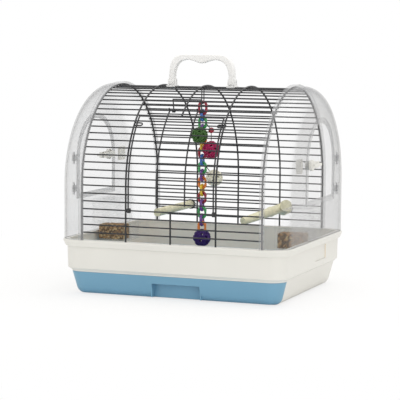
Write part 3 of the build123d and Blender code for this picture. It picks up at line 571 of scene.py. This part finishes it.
class CAGE_OT_toy_links(bpy.types.Operator):
    """Make the toy's chain out of thick moulded links, each one turned across the last"""

    bl_idname = "cage.toy_links"
    bl_label = "Mould the toy links"

    def execute(self, context):
        sizes = context.scene.link_sizes
        colours = context.scene.toy_colours
        low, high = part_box(f"toy_links_{LINK_ORDER[0]}")
        steps = LINK_ORDER.index(LINK_ORDER[0], 1)
        pitch = (high.z - low.z - CHAIN_LINK_LENGTH) / steps
        top = Vector(((low.x + high.x) / 2, (low.y + high.y) / 2, high.z - CHAIN_LINK_LENGTH / 2))
        for name in sorted(set(LINK_ORDER)):
            plastic = toy_plastic(f"toy_{name}", getattr(colours, name))
            links = [self.link(top - Vector((0, 0, i * pitch)), i, pitch, sizes)
                     for i, tone in enumerate(LINK_ORDER) if tone == name]
            piece = join_as(links, f"chain_links_{name}", plastic)
            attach(piece, "toy")
            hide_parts(f"toy_links_{name}")
            if name == "red":
                dress(["toy_ring", "toy_bead"], plastic)
        return {"FINISHED"}

    @staticmethod
    def link(centre, index, pitch, sizes):
        """One oval link, long way up, slimmer where it was snapped shut."""
        link = add_ring(sizes.half_width, sizes.bar_radius, LINK_SEGMENTS)
        stretch = (pitch + 2 * sizes.bar_radius) / 2 - sizes.half_width
        for vertex in link.data.vertices:
            angle = math.atan2(vertex.co.y, vertex.co.x)
            spine = Vector((math.cos(angle), math.sin(angle), 0.0)) * sizes.half_width
            slim = SNAPPED_SHARE if abs(angle) < math.pi * sizes.gap else 1.0
            vertex.co = spine + (vertex.co - spine) * slim
            vertex.co.y += math.copysign(stretch, spine.y) if abs(spine.y) > 1e-6 else 0.0
        across = 0.0 if index % 2 == 1 else math.pi / 2
        turn = Matrix.Rotation(across, 4, "Z") @ Matrix.Rotation(math.pi / 2, 4, "X")
        link.matrix_world = Matrix.Translation(centre) @ turn
        return link


class CAGE_OT_cane_balls(bpy.types.Operator):
    """Weave the cane balls of the toy out of crossing strips"""

    bl_idname = "cage.cane_balls"
    bl_label = "Weave the cane balls"

    def execute(self, context):
        sizes = context.scene.cane_sizes
        tones = context.scene.toy_colours
        for ball, record_slot in CANE_BALLS.items():
            node = f"toy_ball_{ball}"
            low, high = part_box(node)
            centre = (low + high) / 2
            radius = (high.z - low.z) / 2
            strips = [self.strip(centre, radius, i, sizes) for i in range(sizes.strips)]
            cane = dyed_cane(f"cane_{ball}", getattr(tones, f"ball_{ball}"))
            piece = join_as(strips, f"cane_ball_{ball}", cane)
            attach(piece, "toy")
            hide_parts(node)
        return {"FINISHED"}

    @staticmethod
    def strip(centre, radius, index, sizes):
        """One cane ring, tilted its own way, that rises over and dips under its neighbours."""
        height = 1.0 - (index + 0.5) / sizes.strips
        turn = index * math.pi * (3.0 - math.sqrt(5.0))  # golden angle
        flat = math.sqrt(1.0 - height * height)
        axis = Vector((flat * math.cos(turn), flat * math.sin(turn), height))
        ring = radius - sizes.cane_radius - sizes.weave
        strip = add_ring(ring, sizes.cane_radius, CANE_SEGMENTS)
        for vertex in strip.data.vertices:
            angle = math.atan2(vertex.co.y, vertex.co.x)
            lift = 1.0 + sizes.weave / ring * math.sin(sizes.waves * angle + index)
            vertex.co.x *= lift
            vertex.co.y *= lift
        strip.matrix_world = Matrix.Translation(centre) @ axis.to_track_quat("Z", "Y").to_matrix().to_4x4()
        return strip


class CAGE_OT_seed_grains(bpy.types.Operator):
    """Scatter loose seed over the fill in each seed cup"""

    bl_idname = "cage.seed_grains"
    bl_label = "Scatter seed"

    def execute(self, context):
        sizes = context.scene.seed_sizes
        material = seed_mix(context.scene.cage_colours.seed)
        chance = random.Random(SEED_DRAW)
        for end in ENDS:
            node = f"seed_{end}"
            dress([node], material)
            low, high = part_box(node)
            top = Vector(((low.x + high.x) / 2, (low.y + high.y) / 2, high.z))
            deselect()
            bpy.ops.mesh.primitive_ico_sphere_add(subdivisions=1, radius=sizes.grain_length / 2)
            model = bpy.context.view_layer.objects.active
            model.scale = GRAIN_SHAPE
            bpy.ops.object.transform_apply(location=False, rotation=False, scale=True)
            grains = [self.grain(context, model, top, sizes, chance) for _ in range(sizes.grains)]
            bpy.data.objects.remove(model)
            piece = join_as(grains, f"seed_grains_{end}", material)
            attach(piece, f"seed_cup_{end}")
        return {"FINISHED"}

    @staticmethod
    def grain(context, model, top, sizes, chance):
        """One loose grain, dropped and turned by chance."""
        grain = model.copy()
        grain.data = model.data.copy()
        context.scene.collection.objects.link(grain)
        grain.location = top + Vector((chance.uniform(-1, 1) * sizes.spread_x,
                                       chance.uniform(-1, 1) * sizes.spread_y,
                                       chance.uniform(*GRAIN_LIFT) * MM))
        grain.rotation_euler = (chance.uniform(-GRAIN_TILT, GRAIN_TILT),
                                chance.uniform(-GRAIN_TILT, GRAIN_TILT), chance.uniform(0, math.tau))
        return grain


class CAGE_OT_wire_coils(bpy.types.Operator):
    """Wind the wire turns round the hinge wires of the front door and the bail"""

    bl_idname = "cage.wire_coils"
    bl_label = "Wind the hinge coils"

    def execute(self, context):
        sizes = context.scene.coil_sizes
        coat = frame["nodes"]["door_frame"].material_slots[0].material
        joints = {joint["name"]: Vector(joint["pos_m"]) for joint in frame["joints"]}
        jobs = (("door_coils", "front_door", "door_frame", joints["front_door_hinge"], sizes.door_radius),
                ("bail_coils", "bail", "latch_bail", joints["bail_hinge"], sizes.bail_radius))
        for name, body, node, pivot, radius in jobs:
            low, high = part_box(node)
            turns = []
            for side, edge in ((1, low.x), (-1, high.x)):
                for i in range(sizes.turns):
                    x = edge + side * (COIL_INSET + i * COIL_PITCH)
                    turns.append(add_ring(radius, COIL_WIRE, COIL_SEGMENTS, location=(x, pivot.y, pivot.z),
                                          rotation=(0, math.pi / 2 + side * COIL_LEAN, 0)))
            piece = join_as(turns, name, coat)
            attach(piece, body)
        return {"FINISHED"}


class CAGE_OT_studio(bpy.types.Operator):
    """Set up the floor, lights, white surround and camera"""

    bl_idname = "cage.studio"
    bl_label = "Set up the studio"

    def execute(self, context):
        studio = context.scene.studio_settings
        context.scene.view_settings.view_transform = "Standard"
        context.scene.cycles.transparent_max_bounces = CLEAR_LAYERS
        self.floor()
        self.surround(context, studio)
        for name, place, size, power in LAMPS:
            self.lamp(name, place, size, getattr(studio, power))
        self.camera(context, studio)
        return {"FINISHED"}

    @staticmethod
    def floor():
        """Pale floor that is white far off and keeps the shadow near the cage."""
        deselect()
        bpy.ops.mesh.primitive_plane_add(size=FLOOR_SIZE)
        floor = bpy.context.view_layer.objects.active
        floor.name = "studio_floor"
        finish = Finish("floor_pale", Base_Color=(0.9, 0.9, 0.9, 1.0), Roughness=0.9)
        path = finish.node("ShaderNodeLightPath", {}, {}, "Is Camera Ray")
        glow = finish.node("ShaderNodeEmission", {}, {"Color": WHITE, "Strength": 1.0})
        distance = finish.vector("LENGTH", finish.place, output="Value")
        far = finish.node("ShaderNodeMapRange", {"interpolation_type": "SMOOTHSTEP"},
                          {"Value": distance, **FLOOR_FADE})
        mixed = finish.node("ShaderNodeMixShader", {}, {0: path * far, 2: glow})
        finish.tree.links.new(finish.shader.outputs[0], mixed.socket.node.inputs[1])
        output = finish.tree.nodes["Material Output"]
        finish.tree.links.new(mixed.socket, output.inputs["Surface"])
        set_material(floor, finish.material)

    @staticmethod
    def surround(context, studio):
        """Even room light that the eye and the gloss see as white."""
        world = bpy.data.worlds.new("studio_surround")
        context.scene.world = world
        world.use_nodes = True
        tree = world.node_tree
        background = tree.nodes["Background"]
        background.inputs["Color"].default_value = ROOM_TINT
        background.inputs["Strength"].default_value = studio.ambient
        white = tree.nodes.new("ShaderNodeBackground")
        white.inputs["Color"].default_value = WHITE
        white.inputs["Strength"].default_value = 1.0
        path = tree.nodes.new("ShaderNodeLightPath")
        seen = path.outputs["Is Camera Ray"]
        for ray in ("Is Glossy Ray", "Is Transmission Ray"):
            either = tree.nodes.new("ShaderNodeMath")
            either.operation = "MAXIMUM"
            tree.links.new(seen, either.inputs[0])
            tree.links.new(path.outputs[ray], either.inputs[1])
            seen = either.outputs[0]
        mixed = tree.nodes.new("ShaderNodeMixShader")
        tree.links.new(seen, mixed.inputs[0])
        tree.links.new(background.outputs[0], mixed.inputs[1])
        tree.links.new(white.outputs[0], mixed.inputs[2])
        tree.links.new(mixed.outputs[0], tree.nodes["World Output"].inputs["Surface"])

    @staticmethod
    def lamp(name, place, size, power):
        """Square lamp that faces the middle of the cage."""
        deselect()
        bpy.ops.object.light_add(type="AREA", location=place)
        lamp = bpy.context.view_layer.objects.active
        lamp.name = name
        lamp.data.size = size
        lamp.data.energy = power
        aim = Vector(LAMP_AIM) - Vector(place)
        lamp.rotation_euler = aim.to_track_quat("-Z", "Y").to_euler()

    @staticmethod
    def camera(context, studio):
        """Camera at the viewing angle of the picture, looking along -back."""
        azimuth, elevation = math.radians(studio.azimuth), math.radians(studio.elevation)
        roll = math.radians(studio.roll)
        back = Vector((math.sin(azimuth) * math.cos(elevation), -math.cos(azimuth) * math.cos(elevation),
                       math.sin(elevation)))
        right = Vector((math.cos(azimuth), math.sin(azimuth), 0.0))
        up = back.cross(right)
        across = math.cos(roll) * right + math.sin(roll) * up
        upright = -math.sin(roll) * right + math.cos(roll) * up
        deselect()
        bpy.ops.object.camera_add()
        camera = bpy.context.view_layer.objects.active
        camera.name = "picture_camera"
        camera.data.sensor_width = SENSOR_WIDTH
        camera.data.lens = studio.lens
        camera.data.clip_end = CAMERA_REACH
        turn = Matrix((across, upright, back)).transposed().to_4x4()
        camera.matrix_world = Matrix.Translation(Vector(studio.camera_place)) @ turn
        context.scene.camera = camera


class CAGE_PT_dressing(bpy.types.Panel):
    """Lists the steps that dress the cage"""

    bl_label = "Bird cage"
    bl_space_type = "VIEW_3D"
    bl_region_type = "UI"
    bl_category = "Bird cage"

    def draw(self, context):
        for operator in OPERATORS:
            self.layout.operator(operator.bl_idname)
        for group in GROUPS:
            settings = getattr(context.scene, GROUPS[group])
            for name in group.__annotations__:
                self.layout.prop(settings, name)


GROUPS = {CageColours: "cage_colours", ToyColours: "toy_colours", CaneSizes: "cane_sizes",
          SeedSizes: "seed_sizes", LinkSizes: "link_sizes", CoilSizes: "coil_sizes",
          StudioSettings: "studio_settings"}
OPERATORS = (CAGE_OT_wire_finish, CAGE_OT_tub_finish, CAGE_OT_clear_finish, CAGE_OT_perch_finish,
             CAGE_OT_toy_links, CAGE_OT_cane_balls, CAGE_OT_seed_grains, CAGE_OT_wire_coils,
             CAGE_OT_studio)
CLASSES = (*GROUPS, *OPERATORS, CAGE_PT_dressing)


def register():
    for cls in CLASSES:
        bpy.utils.register_class(cls)
    for group, name in GROUPS.items():
        setattr(bpy.types.Scene, name, PointerProperty(type=group))


def unregister():
    for name in GROUPS.values():
        delattr(bpy.types.Scene, name)
    for cls in reversed(CLASSES):
        bpy.utils.unregister_class(cls)


def main():
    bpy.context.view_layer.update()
    register()
    for operator in OPERATORS:
        group, name = operator.bl_idname.split(".")
        getattr(getattr(bpy.ops, group), name)()


if __name__ == "__main__":
    main()
